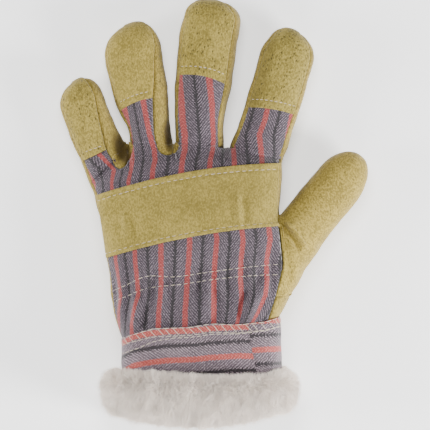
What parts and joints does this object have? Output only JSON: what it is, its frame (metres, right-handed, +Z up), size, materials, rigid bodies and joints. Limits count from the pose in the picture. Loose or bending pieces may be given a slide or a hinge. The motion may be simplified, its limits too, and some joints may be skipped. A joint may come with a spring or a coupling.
{
  "type": "insulated work glove",
  "caption": "Insulated work glove for a left hand: striped canvas back, leather palm, fingertips, thumb and knuckle strap, and pile lining turned out at the cuff.",
  "frame": {"origin": "middle of the glove's box, on the surface that it lies on", "axes": "+Y towards the fingertips, +X towards the thumb, +Z up from the palm to the back of the hand"},
  "size_m": [0.1952, 0.2724, 0.0588],
  "materials": {
    "grain_leather": "matt grain pigskin",
    "thumb_leather": "matt split pigskin",
    "fingertip_leather": "matt grain pigskin with open pores",
    "strap_leather": "napped split pigskin",
    "striped_canvas": "herringbone twill with red and black stripes",
    "cuff_canvas": "herringbone twill with red and black stripes",
    "white_pile": "deep woolly pile"
  },
  "bodies": {
    "root": {"palm_leather": "grain_leather", "back_canvas": "striped_canvas", "thumb": "thumb_leather", "knuckle_strap": "strap_leather", "cuff": "cuff_canvas", "pile_lining": "white_pile", "fingertip_little": "fingertip_leather", "fingertip_ring": "fingertip_leather", "fingertip_middle": "fingertip_leather", "fingertip_index": "fingertip_leather"}
  },
  "joints": []
}
